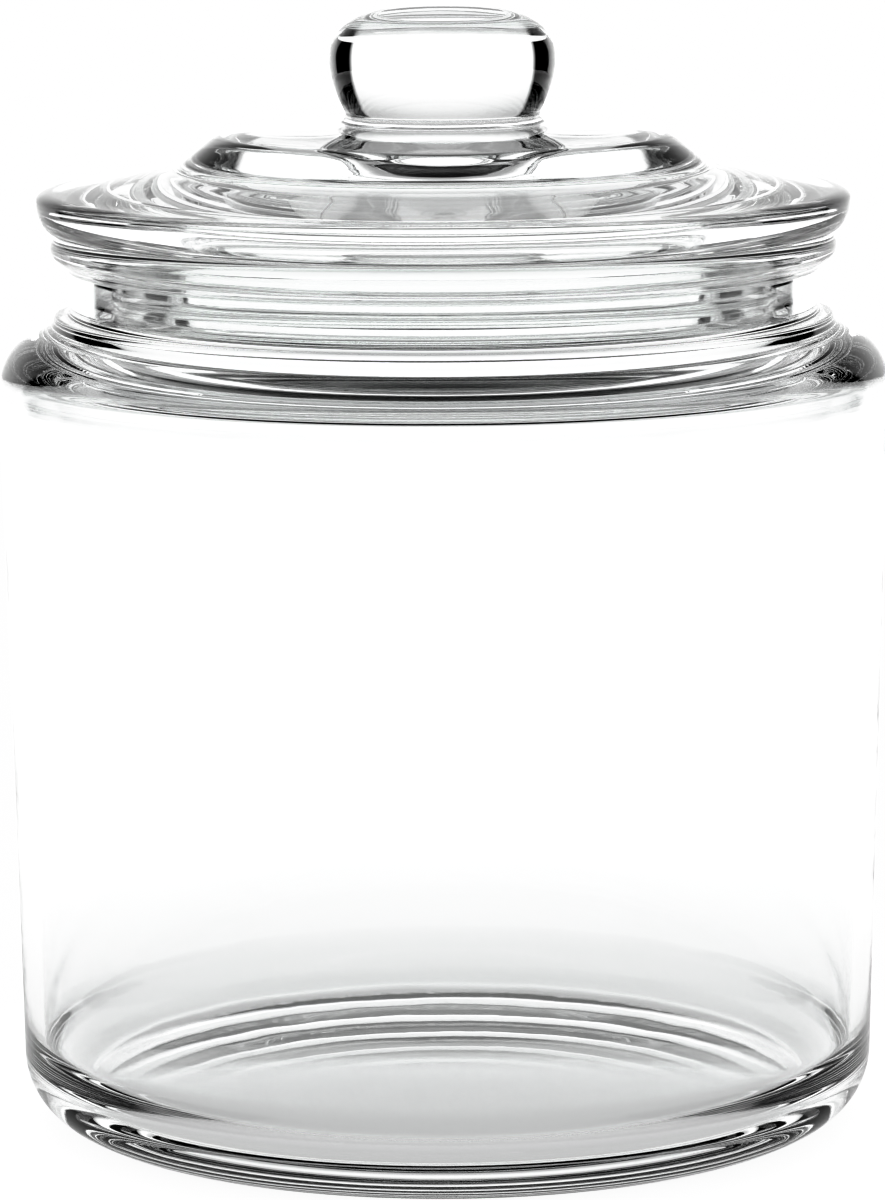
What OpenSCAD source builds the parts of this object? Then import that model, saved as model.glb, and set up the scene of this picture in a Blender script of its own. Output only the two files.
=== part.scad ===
// Lidded glass canister: a wide-mouth storage jar with a plugged glass lid and a clear soft seal ring.
// Millimetres. The foot stands on z = 0 and the axis of the jar is the z axis, with the knob at the top.

/* [Jar body] */
// outside diameter at the widest point, just under the shoulder
body_d = 182.4; // [150:0.2:222]
// height of the finished lip, where the lid comes to rest
jar_h = 183.4; // [152:0.2:221]
// how much narrower the body is at the foot than under the shoulder, on the diameter
body_taper = 6; // [0:0.5:12]
// thickness of the side wall
wall_t = 4; // [3:0.1:5.4]
// thickness of the glass floor over the bearing ring
floor_t = 8; // [6:0.5:9.5]
// how far in the wall curves before it meets the table, on the radius
foot_r = 12.4; // [9.6:0.2:14.8]
// height at which the wall starts to curve in
foot_h = 13.6; // [11:0.2:16.4]
// width of the flat bearing ring the jar stands on
bearing_w = 4; // [3:0.5:6]
// how far the middle of the bottom is pushed up off the table
push_up = 2.4; // [1:0.2:3.4]
// outside radius of the shoulder
shoulder_r = 11.5; // [9:0.5:14]

/* [Neck and lip] */
// how far the outside of the neck stands in from the widest wall, on the radius
neck_inset = 14.6; // [12:0.1:17.6]
// height of the neck from the shoulder to the finished lip
neck_h = 17.6; // [14.6:0.2:21.2]
// thickness of the neck wall
neck_t = 5.1; // [4:0.1:6.2]
// thickness of the glass from the foot of the neck down to the hollow under the shoulder
shoulder_t = 7.8; // [6.6:0.1:9.2]
// how far the rolled lip stands out from the neck
lip_out = 3.8; // [2.6:0.1:4.8]
// height of the rolled lip
lip_h = 6; // [4.6:0.1:7.2]
// how far the ring at the foot of the neck stands out from the neck
ring_out = 3.3; // [2:0.1:4]
// height of the ring at the foot of the neck
ring_h = 2.2; // [1.6:0.1:2.8]

/* [Lid] */
// how far the lid's rim stands out past the rolled lip, on the radius
lid_over = 2.8; // [2:0.1:3.6]
// height of the thick rounded rim
rim_h = 8.2; // [6.8:0.2:9.8]
// rise of the sloping top from the rim to the foot of the raised middle
lid_slope = 4.2; // [3:0.2:5.4]
// how far the foot of the raised middle's edge stands in from the outside of the plug, on the radius
crown_in = 9.85; // [8:0.05:11.9]
// width of the raised middle's sloping edge
crown_edge = 12; // [9:0.5:14.5]
// height of the raised middle's edge over the slope
crown_step = 6.8; // [5.4:0.1:8.2]
// rise of the crown from its edge to the foot of the knob
crown_rise = 2.5; // [1.8:0.1:3.4]
// glass left over the hollow under the crown
crown_t = 7; // [5.5:0.1:8.4]
// depth of the plug below the face that rests on the lip
plug_h = 19.6; // [16.4:0.2:23.4]
// wall of the plug at its lower edge
plug_t = 9; // [7:0.1:10.8]
// how far the bead at the foot of the plug stands out to keep the seal on
bead_out = 1; // [0.6:0.1:1.3]

/* [Knob] */
// diameter of the knob at its widest
knob_d = 46.2; // [41:0.2:55.4]
// diameter of the knob's waist over the crown
waist_d = 39.8; // [33:0.2:44]
// height of the knob from its waist to its top
knob_h = 22.4; // [18.6:0.2:27]
// fillet between the waist and the crown
waist_fillet = 1.6; // [1.3:0.1:2]

/* [Seal ring] */
// thickness of the sleeve that grips the plug
sleeve_t = 1.5; // [1.2:0.1:1.8]
// how far the fins stand out from the sleeve
fin_out = 3.45; // [2.8:0.05:4.1]
// thickness of one fin
fin_t = 0.8; // [0.6:0.05:1]
// rise of a fin from the sleeve to its edge
fin_rise = 1.2; // [0.6:0.1:1.6]
// distance from one fin to the next
fin_pitch = 4.6; // [3.8:0.1:5.2]

/* [Fits] */
// running clearance between the seal's sleeve and the plug, on the radius
seal_fit = 0.05; // [0.02:0.01:0.1]
// clearance between the edge of the fins and the mouth, on the radius
fin_gap = 0.15; // [0.1:0.01:0.4]
// gap left between the lid's resting face and the lip
rest_gap = 0.3; // [0.3:0.05:0.6]
// gap left above and below the sleeve, along the axis
sleeve_gap = 0.3; // [0.3:0.05:0.6]

/* [Hidden] */
steps = 12;

body_r = body_d / 2;
base_r = body_r - body_taper / 2;
neck_r = body_r - neck_inset;
mouth_r = neck_r - neck_t;
lip_r = neck_r + lip_out;
ring_r = neck_r + ring_out;
bearing_out = base_r - foot_r;
bearing_in = bearing_out - bearing_w;
neck_z = jar_h - neck_h;
shoulder_drop = 2.4;
shoulder_z = neck_z - shoulder_drop - shoulder_r;
hollow_top_z = neck_z - shoulder_t;
inner_r = body_r - wall_t;
inner_base_r = base_r - wall_t;
inner_shoulder_r = shoulder_r - 2;
inner_foot_r = foot_r;
lip_z = jar_h - lip_h / 2;
mouth_edge = 1.2;
hollow_edge = 3.4;

lid_r = lip_r + lid_over;
lid_z = jar_h + rest_gap;
plug_r = mouth_r - fin_gap - fin_out - sleeve_t - seal_fit;
sleeve_in = plug_r + seal_fit;
sleeve_out = sleeve_in + sleeve_t;
fin_r = mouth_r - fin_gap;
plug_z = lid_z - plug_h;
bead_h = 1.6;
sleeve_z0 = plug_z + bead_h + sleeve_gap;
sleeve_z1 = lid_z - sleeve_gap;
rim_low = 0.79;
rim_z = lid_z + rim_low * rim_h;
rim_in = 3.8;
crown_r = plug_r - crown_in;
crown_foot_z = lid_z + rim_h + lid_slope;
crown_z = crown_foot_z + crown_step;
knob_r = knob_d / 2;
waist_r = waist_d / 2;
fillet_r = waist_r + waist_fillet;
fillet_z = crown_z + crown_rise;
waist_z = fillet_z + waist_fillet;
hollow_r = plug_r - plug_t;
hollow_z = crown_z - crown_t;
ceiling_edge = 6;
ceiling_in = 9;
plug_edge = 2.5;
widest_at = 0.49;
dome_power = 0.8;
swell_power = 1.8;
waist_lean = 27;
swell_r = fillet_r - waist_fillet * cos(waist_lean);
swell_z = waist_z + waist_fillet * sin(waist_lean);
widest_z = waist_z + widest_at * knob_h;
dome_h = knob_h - widest_at * knob_h;

// Points of an arc with its own radii across and up, from angle a0 to a1.
function arc(cx, cz, rx, rz, a0, a1, n) =
    [for (i = [0:n]) [cx + rx * cos(a0 + (a1 - a0) * i / n), cz + rz * sin(a0 + (a1 - a0) * i / n)]];

// Smooth step from 0 to 1.
function ease(t) = t * t * (3 - 2 * t);

// Shallow dished bottom between the axis and the bearing ring.
function bottom_pts() =
    [for (i = [0:steps]) [bearing_in * i / steps, push_up * (1 - pow(i / steps, 2))]];

// Outside of the jar, from the bearing ring up to the top of the lip.
function jar_outside() = concat(
    arc(base_r - foot_r, foot_h, foot_r, foot_h, -90, 0, steps),
    arc(body_r - shoulder_r, shoulder_z, shoulder_r, shoulder_r, 0, 76, steps),
    [[ring_r, neck_z - ring_h / 2]],
    arc(ring_r - ring_h / 2, neck_z, ring_h / 2, ring_h / 2, 0, 80, 5),
    [[neck_r, neck_z + ring_h]],
    arc(neck_r, lip_z, lip_out, lip_h / 2, -90, 60, steps),
    [[neck_r - 0.5, jar_h]]
);

// Inside of the jar, from the top of the lip down to the middle of the floor.
function jar_inside() = concat(
    arc(mouth_r + mouth_edge, jar_h - mouth_edge, mouth_edge, mouth_edge, 90, 180, 5),
    arc(mouth_r + hollow_edge, hollow_top_z + hollow_edge, hollow_edge, hollow_edge, 180, 262, 6),
    arc(inner_r - inner_shoulder_r, shoulder_z, inner_shoulder_r, hollow_top_z - shoulder_z, 84, 0, steps),
    arc(inner_base_r - inner_foot_r, floor_t + inner_foot_r, inner_foot_r, inner_foot_r, 0, -90, steps),
    [[0, floor_t]]
);

// Pressed and blown glass jar: foot, straight tapering body, rounded shoulder, neck and rolled lip.
module jar() {
    color([0.86, 0.91, 0.90, 0.45])
    rotate_extrude($fn = 160)
    polygon(concat(bottom_pts(), jar_outside(), jar_inside()));
}

// Top of the lid, from the rim in to the top of the knob.
function lid_top() = concat(
    arc(lid_r - rim_in, rim_z, rim_in, rim_low * rim_h, -80, 0, steps),
    arc(lid_r - rim_in, rim_z, rim_in, (1 - rim_low) * rim_h, 8, 84, 8),
    [for (i = [1:7]) [
        lid_r - rim_in + (crown_r - lid_r + rim_in) * i / 8,
        lid_z + rim_h + lid_slope * pow(i / 8, 1.3)
    ]],
    [for (i = [0:8]) [crown_r - crown_edge * i / 8, crown_foot_z + crown_step * ease(i / 8)]],
    [for (i = [1:8]) [
        crown_r - crown_edge + (fillet_r - crown_r + crown_edge) * i / 8,
        crown_z + crown_rise * (1 - pow(1 - i / 8, 2))
    ]],
    arc(fillet_r, waist_z, waist_fillet, waist_fillet, 262, 180 - waist_lean, 8)
);

// Side and top of the knob: it swells from its waist and closes in a flattened dome.
function knob_pts() = concat(
    [for (i = [1:9]) [
        knob_r - (knob_r - swell_r) * pow(1 - i / 9, swell_power),
        swell_z + (widest_z - swell_z) * i / 9
    ]],
    [for (i = [1:17]) [
        knob_r * pow(cos(90 * i / 18), dome_power),
        widest_z + dome_h * pow(sin(90 * i / 18), dome_power)
    ]],
    [[0, waist_z + knob_h]]
);

// Hollow under the crown and the plug that hangs in the mouth.
function lid_under() = concat(
    [[0, hollow_z + crown_rise / 2]],
    [for (i = [1:5]) [(hollow_r - ceiling_in - 1) * i / 5, hollow_z + crown_rise / 2 * (1 - pow(i / 5, 2))]],
    arc(hollow_r - ceiling_in, hollow_z - ceiling_edge, ceiling_edge, ceiling_edge, 82, 0, 6),
    arc(hollow_r + plug_edge, plug_z + plug_edge, plug_edge, plug_edge, 180, 270, 6),
    arc(plug_r + bead_out - bead_h / 2, plug_z + bead_h / 2, bead_h / 2, bead_h / 2, -90, 90, 8),
    [[plug_r, plug_z + bead_h], [plug_r, lid_z]]
);

// Pressed glass lid: thick rim, sloping top, raised crown with a solid knob, and a hollow plug under it.
module lid() {
    color([0.84, 0.90, 0.89, 0.5])
    rotate_extrude($fn = 160)
    polygon(concat(lid_under(), lid_top(), knob_pts()));
}

// One fin of the seal: a thin skirt that rises from the sleeve to the mouth.
function fin_pts(z) = [
    [sleeve_out, z],
    [fin_r - 0.2, z + fin_rise],
    [fin_r, z + fin_rise + fin_t * 0.3],
    [fin_r, z + fin_rise + fin_t * 0.75],
    [fin_r - 0.2, z + fin_rise + fin_t],
    [sleeve_out, z + fin_t]
];

// First fin's height above the bottom of the sleeve.
fin_z0 = sleeve_z0 + (sleeve_z1 - sleeve_z0) / 2 - fin_pitch - (fin_rise + fin_t) / 2;

// Clear soft seal: a sleeve stretched over the plug with three fins that wipe the inside of the neck.
module seal_ring() {
    color([0.93, 0.94, 0.93, 0.6])
    rotate_extrude($fn = 160)
    polygon(concat(
        [[sleeve_in, sleeve_z0], [sleeve_out - 0.3, sleeve_z0], [sleeve_out, sleeve_z0 + 0.3]],
        fin_pts(fin_z0),
        fin_pts(fin_z0 + fin_pitch),
        fin_pts(fin_z0 + 2 * fin_pitch),
        [[sleeve_out, sleeve_z1 - 0.3], [sleeve_out - 0.3, sleeve_z1], [sleeve_in, sleeve_z1]]
    ));
}

jar();
lid();
seal_ring();
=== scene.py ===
"""A lidded glass canister: a jar, a plugged lid with a knob, and a clear seal ring."""

from math import cos, pi, radians, sin

import bpy
from mathutils import Matrix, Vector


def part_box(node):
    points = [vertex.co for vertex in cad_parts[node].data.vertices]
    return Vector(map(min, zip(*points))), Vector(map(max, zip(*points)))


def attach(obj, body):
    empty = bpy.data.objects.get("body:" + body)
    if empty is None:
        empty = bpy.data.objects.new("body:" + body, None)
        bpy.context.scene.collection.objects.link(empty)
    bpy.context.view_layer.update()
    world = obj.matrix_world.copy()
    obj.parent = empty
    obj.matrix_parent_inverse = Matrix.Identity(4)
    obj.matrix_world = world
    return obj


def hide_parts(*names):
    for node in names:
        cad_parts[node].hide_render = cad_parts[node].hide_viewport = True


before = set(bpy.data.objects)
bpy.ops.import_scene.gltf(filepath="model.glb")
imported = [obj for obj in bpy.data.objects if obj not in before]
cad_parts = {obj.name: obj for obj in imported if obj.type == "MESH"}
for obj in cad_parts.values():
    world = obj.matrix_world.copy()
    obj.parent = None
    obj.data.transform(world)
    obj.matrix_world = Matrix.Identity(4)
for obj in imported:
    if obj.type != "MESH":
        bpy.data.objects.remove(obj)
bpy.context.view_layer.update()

# ---------------------------------------------------------------------------
# Camera: a long lens just over a metre in front of the jar, a little above
# the knob and tilted down to the foot.
# ---------------------------------------------------------------------------
camera_distance = 1.150
camera_height = 0.2952
camera_tilt = radians(9.32)
camera_roll = radians(-0.31)
camera_turn = radians(0.028)
lens_mm = 169.07
sensor_mm = 36.0

bpy.ops.object.select_all(action="DESELECT")
bpy.ops.object.camera_add(location=(0.0, -camera_distance, camera_height))
camera = bpy.context.active_object
camera.name = "product_camera"
camera.data.lens = lens_mm
camera.data.sensor_width = sensor_mm
camera.data.dof.use_dof = False
turn = Matrix.Rotation(camera_turn, 4, "Z")
tilt = Matrix.Rotation(pi / 2 - camera_tilt, 4, "X")
roll = Matrix.Rotation(camera_roll, 4, "Z")
camera.matrix_world = Matrix.Translation(camera.location) @ turn @ tilt @ roll
bpy.context.scene.camera = camera

# ---------------------------------------------------------------------------
# Jar: one piece of clear soda-lime glass, pressed and then blown in a mould.
# It has a thick floor on a flat bearing ring, a straight body that tapers to
# the foot, a round shoulder, a thin ring under the neck and a rolled lip.
# ---------------------------------------------------------------------------
MM = 0.001
TURNS = 288
body_lean = 3 * MM
neck_inset, neck_wall, neck_h = 14.6 * MM, 5.1 * MM, 17.6 * MM
lip_out, lip_half_h, mouth_edge = 3.8 * MM, 3 * MM, 1.2 * MM
shoulder_drop, shoulder_r, shoulder_thin = 2.4 * MM, 11.5 * MM, 2 * MM
ring_out, ring_round, ring_up, ring_edge = 2.2 * MM, 1.1 * MM, 2.2 * MM, 1.2 * MM
foot_in, foot_up = 12.4 * MM, 13.6 * MM
bearing_w, push_up = 4 * MM, 2.4 * MM
wall, floor_z = 4 * MM, 8 * MM
hollow_drop, hollow_edge = 7.8 * MM, 3.4 * MM

jar_low, jar_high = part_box("jar")
jar_top = jar_high.z
body_r = (jar_high.x - jar_low.x) / 2
base_r = body_r - body_lean
neck_r = body_r - neck_inset
mouth_r = neck_r - neck_wall
lip_r = neck_r + lip_out
neck_z = jar_top - neck_h
shoulder_z = neck_z - shoulder_drop - shoulder_r
bearing_out = base_r - foot_in
bearing_in = bearing_out - bearing_w
inner_r = body_r - wall
inner_base_r = base_r - wall


def arc(centre_r, centre_z, across, up, start, end, count):
    """Points of an arc with its own radii across and up, from one angle to another in degrees."""
    step = radians(end - start) / count
    first = radians(start)
    return [
        (centre_r + across * cos(first + step * i), centre_z + up * sin(first + step * i))
        for i in range(count + 1)
    ]


def run(a, b, count):
    """Points between two points, with both ends left out."""
    return [
        (a[0] + (b[0] - a[0]) * i / count, a[1] + (b[1] - a[1]) * i / count)
        for i in range(1, count)
    ]


def spun(name, outline):
    """Draws the outline from point to point and spins it once round the axis of the jar."""
    bpy.ops.object.select_all(action="DESELECT")
    bpy.ops.mesh.primitive_plane_add(size=0.01)
    piece = bpy.context.active_object
    piece.name = name
    bpy.ops.object.mode_set(mode="EDIT")
    bpy.ops.mesh.select_all(action="SELECT")
    bpy.ops.mesh.merge(type="CENTER")
    bpy.ops.transform.translate(value=(outline[0][0], 0, outline[0][1]))
    for here, there in zip(outline, outline[1:]):
        along = (there[0] - here[0], 0, there[1] - here[1])
        bpy.ops.mesh.extrude_region_move(TRANSFORM_OT_translate={"value": along})
    bpy.ops.mesh.select_all(action="SELECT")
    bpy.ops.mesh.spin(steps=TURNS, angle=2 * pi, center=(0, 0, 0), axis=(0, 0, 1))
    bpy.ops.mesh.select_all(action="SELECT")
    bpy.ops.mesh.remove_doubles(threshold=2e-6)
    bpy.ops.mesh.normals_make_consistent(inside=False)
    bpy.ops.object.mode_set(mode="OBJECT")
    bpy.ops.object.shade_smooth()
    return piece


bottom = [(bearing_in * i / 24, push_up * (1 - (i / 24) ** 2)) for i in range(25)]
foot = arc(bearing_out, foot_up, foot_in, foot_up, -90, 0, 24)
shoulder = arc(body_r - shoulder_r, shoulder_z, shoulder_r, shoulder_r, 0, 76, 24)
ring = arc(neck_r + ring_out, neck_z, ring_round, ring_round, -20, 90, 10)
neck_foot = arc(neck_r + ring_edge, neck_z + ring_up, ring_edge, ring_round, 270, 180, 6)
lip = arc(neck_r, jar_top - lip_half_h, lip_out, lip_half_h, -84, 84, 28)
lip_inside = arc(mouth_r + mouth_edge, jar_top - mouth_edge, mouth_edge, mouth_edge, 90, 180, 8)
hollow_top = neck_z - hollow_drop
bore_foot = arc(
    mouth_r + hollow_edge, hollow_top + hollow_edge, hollow_edge, hollow_edge, 180, 262, 12
)
under_shoulder = arc(
    inner_r - shoulder_r + shoulder_thin,
    shoulder_z,
    shoulder_r - shoulder_thin,
    hollow_top - shoulder_z,
    84,
    0,
    20,
)
inner_foot = arc(inner_base_r - foot_in, floor_z + foot_in, foot_in, foot_in, 0, -90, 20)
outside = (
    bottom
    + foot
    + run(foot[-1], shoulder[0], 44)
    + shoulder
    + ring
    + neck_foot
    + run(neck_foot[-1], lip[0], 6)
    + lip
)
inside = (
    lip_inside
    + run(lip_inside[-1], bore_foot[0], 8)
    + bore_foot
    + under_shoulder
    + run(under_shoulder[-1], inner_foot[0], 44)
    + inner_foot
    + run(inner_foot[-1], (0.0, floor_z), 16)
    + [(0.0, floor_z)]
)
jar = spun("glass_jar", outside + inside)


class Shade:
    """A socket of a shader, with the sums written as Python."""

    def __init__(self, tree, socket):
        self.tree, self.socket = tree, socket

    def node(self, kind, settings=None, inputs=None, out=0):
        """Adds one node: its settings first, then the values or links of its sockets."""
        made = self.tree.nodes.new(kind)
        for key, value in (settings or {}).items():
            setattr(made, key, value)
        for key, value in (inputs or {}).items():
            if isinstance(value, Shade):
                self.tree.links.new(value.socket, made.inputs[key])
            else:
                made.inputs[key].default_value = value
        return Shade(self.tree, made.outputs[out])

    def sum(self, operation, a, b):
        return self.node("ShaderNodeMath", {"operation": operation}, {0: a, 1: b})

    def __add__(self, other):
        return self.sum("ADD", self, other)

    __radd__ = __add__

    def __sub__(self, other):
        return self.sum("SUBTRACT", self, other)

    def __rsub__(self, other):
        return self.sum("SUBTRACT", other, self)

    def __mul__(self, other):
        return self.sum("MULTIPLY", self, other)

    def __truediv__(self, other):
        return self.sum("DIVIDE", self, other)

    def step(self, low, high):
        """Rises smoothly from 0 at low to 1 at high."""
        settings = {"interpolation_type": "SMOOTHSTEP"}
        ends = {"Value": self, "From Min": low, "From Max": high}
        return self.node("ShaderNodeMapRange", settings, ends)


def clear_glass(name, cords_height):
    """Fire-polished clear glass with faint cords and a fine ripple left by the gob."""
    glass = bpy.data.materials.new(name)
    glass.use_nodes = True
    tree = glass.node_tree
    shader = tree.nodes["Principled BSDF"]
    shader.inputs["Transmission Weight"].default_value = 1.0
    shader.inputs["IOR"].default_value = 1.5
    shader.inputs["Specular IOR Level"].default_value = 0.5
    place = Shade(tree, None).node("ShaderNodeTexCoord", out=3)
    cords = place.node("ShaderNodeMapping", {}, {"Vector": place, "Scale": (1.0, 1.0, 3.2)})
    swirl = place.node("ShaderNodeTexNoise", {}, {"Vector": cords, "Scale": 22.0, "Detail": 2.0})
    fine = place.node("ShaderNodeTexNoise", {}, {"Vector": place, "Scale": 160.0, "Detail": 1.0})
    height = swirl * 0.9 + fine * 0.1
    bump = place.node(
        "ShaderNodeBump", {}, {"Strength": 1.0, "Distance": cords_height, "Height": height}
    )
    tree.links.new(bump.socket, shader.inputs["Normal"])
    tint = place.node(
        "ShaderNodeMix",
        {"data_type": "RGBA"},
        {0: swirl, 6: (0.985, 0.99, 0.99, 1.0), 7: (0.995, 0.998, 0.998, 1.0)},
        out=2,
    )
    tree.links.new(tint.socket, shader.inputs["Base Color"])
    shader.inputs["Roughness"].default_value = 0.0
    return glass


jar.data.materials.append(clear_glass("clear_jar_glass", 0.05 * MM))
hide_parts("jar")
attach(jar, "jar")

# ---------------------------------------------------------------------------
# Lid: one pressing of the same clear glass. A thick rounded rim rests on the
# lip, the top slopes up to a raised crown with a solid knob, and a hollow plug
# hangs in the mouth with a bead at its foot that keeps the seal on.
# ---------------------------------------------------------------------------
lid_low, lid_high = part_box("lid")
seal_low, seal_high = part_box("seal_ring")
rim_out, rest_gap = 2.8 * MM, 0.3 * MM
sleeve_gap, sleeve_t, seal_fit = 3.6 * MM, 1.5 * MM, 0.05 * MM
rim_in, rim_h, rim_low = 3.8 * MM, 8.2 * MM, 0.79
slope_h, slope_power = 4.2 * MM, 1.3
crown_inset, crown_edge, crown_h, crown_bulge = 9.85 * MM, 12 * MM, 6.8 * MM, 2.5 * MM
waist_r, knob_r, fillet = 19.9 * MM, 23.1 * MM, 1.6 * MM
widest_at, swell_power, dome_power = 0.49, 1.8, 0.8
plug_t, plug_edge, ceiling_t = 9 * MM, 2.5 * MM, 7 * MM
ceiling_in, ceiling_edge, ceiling_flat, ceiling_rise = 9 * MM, 6 * MM, 10 * MM, 1.25 * MM
bead_out, bead_r = 0.2 * MM, 0.8 * MM

lid_r = lip_r + rim_out
rest_z = jar_top + rest_gap
sleeve_out = mouth_r - sleeve_gap
sleeve_in = sleeve_out - sleeve_t
plug_r = sleeve_in - seal_fit
plug_z = lid_low.z
rim_z = rest_z + rim_low * rim_h
crown_r = plug_r - crown_inset
crown_foot = rest_z + rim_h + slope_h
crown_z = crown_foot + crown_h
fillet_r = waist_r + fillet
fillet_z = crown_z + crown_bulge
waist_z = fillet_z + fillet
knob_h = lid_high.z - waist_z
hollow_r = plug_r - plug_t
hollow_z = crown_z - ceiling_t
bead_top = plug_z + 2 * bead_r


def ease(t):
    """Smooth step from 0 to 1."""
    return t * t * (3 - 2 * t)


dome = hollow_z + ceiling_rise
ceiling = [
    ((hollow_r - ceiling_flat) * i / 20, dome - ceiling_rise * (i / 20) ** 2) for i in range(21)
]
ceiling_corner = arc(
    hollow_r - ceiling_in, hollow_z - ceiling_edge, ceiling_edge, ceiling_edge, 84, 0, 14
)
plug_foot = arc(hollow_r + plug_edge, plug_z + plug_edge, plug_edge, plug_edge, 180, 270, 12)
bead = arc(plug_r + bead_out, plug_z + bead_r, bead_r, bead_r, -90, 90, 12)
rim_under = arc(lid_r - rim_in, rim_z, rim_in, rim_low * rim_h, -84, 0, 24)
rim_over = arc(lid_r - rim_in, rim_z, rim_in, (1 - rim_low) * rim_h, 5, 84, 14)
slope_r = lid_r - rim_in
slope = [
    (slope_r + (crown_r - slope_r) * i / 16, rest_z + rim_h + slope_h * (i / 16) ** slope_power)
    for i in range(1, 16)
]
edge = [(crown_r - crown_edge * i / 20, crown_foot + crown_h * ease(i / 20)) for i in range(21)]
crown_in = crown_r - crown_edge
crown = [
    (crown_in + (fillet_r - crown_in) * i / 14, crown_z + crown_bulge * (1 - (1 - i / 14) ** 2))
    for i in range(1, 15)
]
root = arc(fillet_r, waist_z, fillet, fillet, 265, 153, 14)
swell_r, swell_z = root[-1]
widest_z = waist_z + widest_at * knob_h
swell_in = knob_r - swell_r
swell = [
    (knob_r - swell_in * (1 - i / 16) ** swell_power, swell_z + (widest_z - swell_z) * i / 16)
    for i in range(1, 17)
]
dome_h = lid_high.z - widest_z
quarter = [pi / 2 * i / 40 for i in range(1, 40)]
knob_top = [
    (knob_r * cos(up) ** dome_power, widest_z + dome_h * sin(up) ** dome_power) for up in quarter
]
lid_outline = (
    ceiling
    + ceiling_corner
    + run(ceiling_corner[-1], plug_foot[0], 8)
    + plug_foot
    + bead
    + [(plug_r, bead_top)]
    + run((plug_r, bead_top), (plug_r, rest_z), 8)
    + [(plug_r, rest_z)]
    + run((plug_r, rest_z), rim_under[0], 6)
    + rim_under
    + rim_over
    + slope
    + edge
    + crown
    + root
    + swell
    + knob_top
    + [(0.0, waist_z + knob_h)]
)
lid = spun("glass_lid", lid_outline)
lid.data.materials.append(clear_glass("clear_lid_glass", 0.08 * MM))
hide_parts("lid")
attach(lid, "lid")

# ---------------------------------------------------------------------------
# Seal ring: soft clear plastic, slightly milky. Its sleeve is stretched over
# the plug and three thin fins lean up and out to wipe the inside of the neck.
# ---------------------------------------------------------------------------
fin_gap, fin_edge = 0.15 * MM, 0.25 * MM
fin_pitch, fin_rise, fin_t = 4.6 * MM, 1.2 * MM, 0.8 * MM
corner, root_out, root_up = 0.3 * MM, 0.3 * MM, 0.1 * MM

fin_r = mouth_r - fin_gap
sleeve_low, sleeve_top = seal_low.z, seal_high.z
first_fin = (sleeve_low + sleeve_top) / 2 - fin_pitch - (fin_rise + fin_t) / 2


def fin(z):
    """One fin, from the sleeve out to its rounded edge and back."""
    tip = arc(fin_r - fin_edge, z + fin_rise + fin_t / 2, fin_edge, fin_t / 2, -70, 90, 6)
    root_end = (sleeve_out + root_out, z + root_up)
    return [(sleeve_out, z), root_end] + tip + [(sleeve_out, z + fin_t)]


seal_outline = (
    [(sleeve_in, sleeve_low)]
    + arc(sleeve_out - corner, sleeve_low + corner, corner, corner, -90, 0, 4)
    + fin(first_fin)
    + fin(first_fin + fin_pitch)
    + fin(first_fin + 2 * fin_pitch)
    + arc(sleeve_out - corner, sleeve_top - corner, corner, corner, 0, 90, 4)
    + [(sleeve_in, sleeve_top), (sleeve_in, sleeve_low)]
)
seal = spun("seal_ring_soft", seal_outline)
milky = bpy.data.materials.new("clear_soft_plastic")
milky.use_nodes = True
soft = milky.node_tree.nodes["Principled BSDF"]
flow = Shade(milky.node_tree, None).node("ShaderNodeTexCoord", out=3)
flow = flow.node("ShaderNodeMapping", {}, {"Vector": flow, "Scale": (1.0, 1.0, 4.0)})
marks = flow.node("ShaderNodeTexNoise", {}, {"Vector": flow, "Scale": 60.0, "Detail": 3.0})
cloud = marks.node(
    "ShaderNodeMix",
    {"data_type": "RGBA"},
    {0: marks, 6: (0.95, 0.955, 0.95, 1.0), 7: (0.995, 0.995, 0.995, 1.0)},
    out=2,
)
wipe_depth = 0.05 * MM
wipe = marks.node("ShaderNodeBump", {}, {"Strength": 1.0, "Distance": wipe_depth, "Height": marks})
milky.node_tree.links.new(cloud.socket, soft.inputs["Base Color"])
milky.node_tree.links.new(wipe.socket, soft.inputs["Normal"])
soft.inputs["Transmission Weight"].default_value = 1.0
soft.inputs["IOR"].default_value = 1.12
soft.inputs["Roughness"].default_value = 0.03
seal.data.materials.append(milky)
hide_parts("seal_ring")
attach(seal, "seal")

# ---------------------------------------------------------------------------
# Studio: a pale floor, and soft light that is strong behind the jar, weak in
# front and at the sides, and dark between. The floor glows with painted shade.
# Straight to the camera the surroundings show white, and the floor shows white
# but for a faint painted contact shadow round the foot. Rays through or off the
# glass find the surroundings greyer or dark, which is what draws the dark lines
# in clear glass, and find the floor greyer, with a painted pool of shade under
# the jar.
# ---------------------------------------------------------------------------
floor_r = 1.2
bpy.ops.object.select_all(action="DESELECT")
bpy.ops.mesh.primitive_circle_add(vertices=128, radius=floor_r, fill_type="NGON")
table = bpy.context.active_object
table.name = "white_floor"
white = bpy.data.materials.new("floor_glow_with_painted_shade")
white.use_nodes = True
paint = white.node_tree.nodes["Principled BSDF"]
paint.inputs["Base Color"].default_value = (0.85, 0.85, 0.85, 1.0)
paint.inputs["Roughness"].default_value = 0.9
paint.inputs["Emission Color"].default_value = (1.0, 1.0, 1.0, 1.0)


def parts(tree, coordinates):
    """The x and y of a vector, its z, and how far it reaches out from the axis."""
    split = tree.nodes.new("ShaderNodeSeparateXYZ")
    tree.links.new(coordinates.socket, split.inputs[0])
    x, y, z = (Shade(tree, split.outputs[i]) for i in range(3))
    squares = x * x + y * y + 1e-8
    return x, y, z, squares.sum("POWER", squares, 0.5)


# Painted shade on the floor: seen through or off the glass, the floor glows dimmest under the jar
# and brightens out to the edge of the pool.
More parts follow.
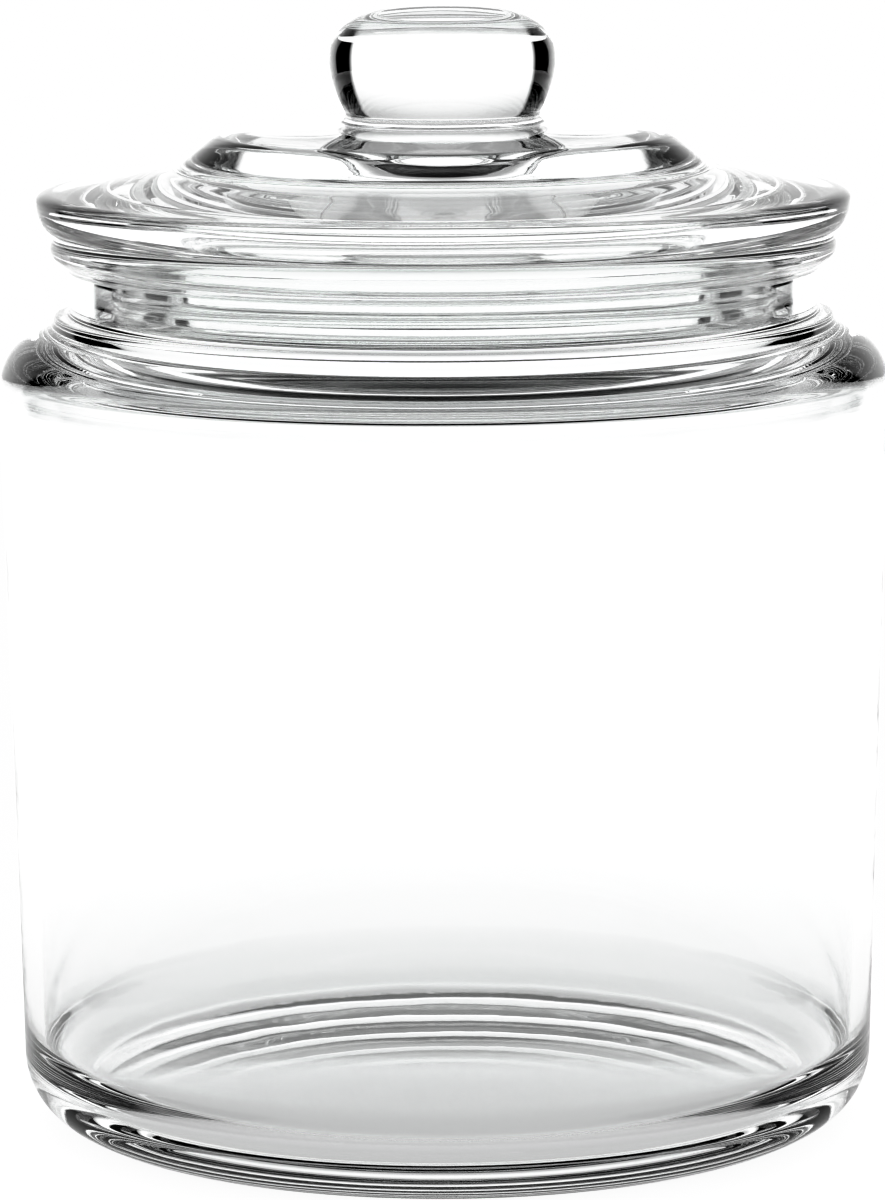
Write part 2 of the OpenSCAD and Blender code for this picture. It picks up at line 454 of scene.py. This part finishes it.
painted_shade_under_jar, painted_shade_r, painted_shade_gain = 0.5, 0.34, 0.26
shadow_in, shadow_out, shadow_level, shadow_gain = 0.07, 0.14, 0.7, 0.2
spot = Shade(white.node_tree, None).node("ShaderNodeTexCoord", out=3)
from_axis = parts(white.node_tree, spot)[3]
painted_shade_through_glass = painted_shade_under_jar + from_axis.step(0.0, painted_shade_r) * painted_shade_gain
# Painted shadow: seen straight by the camera, the floor glows a little darker close round the
# foot, a faint painted contact shadow.
seen_with_painted_shadow = shadow_level + from_axis.step(shadow_in, shadow_out) * shadow_gain
floor_seen = spot.node("ShaderNodeLightPath", out=0)
floor_glow = painted_shade_through_glass + floor_seen * (seen_with_painted_shadow - painted_shade_through_glass)
white.node_tree.links.new(floor_glow.socket, paint.inputs["Emission Strength"])
table.data.materials.append(white)

behind_edge, behind_full = cos(radians(44)), cos(radians(39))
before_edge, before_full, before_level = cos(radians(64)), cos(radians(50)), 0.25
beside_edge, beside_full, beside_level = cos(radians(30)) ** 2, cos(radians(14)) ** 2, 0.24
fade_low, fade_high, fade_by = sin(radians(2)), sin(radians(30)), 0.56
top_low, top_high = sin(radians(38)), sin(radians(74))
dark_level = 0.008
world = bpy.data.worlds.new("studio")
bpy.context.scene.world = world
world.use_nodes = True
sky = world.node_tree
sky.nodes.clear()
heading = Shade(sky, None).node("ShaderNodeTexCoord", out=0)
x, y, z, level = parts(sky, heading)
behind = (y / level).step(behind_edge, behind_full)
before = (0 - y / level).step(before_edge, before_full) * before_level
beside = (x * x / (level * level)).step(beside_edge, beside_full) * beside_level
fade = 1 - z.step(fade_low, fade_high) * fade_by
upper = 1 - z.step(top_low, top_high)
glow = (behind + before + beside) * fade * upper + dark_level
sky_seen = heading.node("ShaderNodeLightPath", out=0)
sky_glow = glow * (1 - sky_seen) + sky_seen
back = heading.node("ShaderNodeBackground", {}, {"Color": (1, 1, 1, 1), "Strength": sky_glow})
output = sky.nodes.new("ShaderNodeOutputWorld")
sky.links.new(back.socket, output.inputs["Surface"])

scene = bpy.context.scene
scene.view_settings.view_transform = "Standard"
scene.view_settings.use_curve_mapping = True
contrast = scene.view_settings.curve_mapping
all_colours = contrast.curves[3]
black_to_white = ((0.04, 0.0), (0.1, 0.02), (0.2, 0.1), (0.35, 0.28), (0.5, 0.51), (0.78, 1.0))
for made_at, shown_as in black_to_white:
    all_colours.points.new(made_at, shown_as)
contrast.update()
scene.cycles.max_bounces = 32
scene.cycles.transmission_bounces = 32
scene.cycles.glossy_bounces = 12
scene.cycles.caustics_refractive = False
scene.cycles.caustics_reflective = False
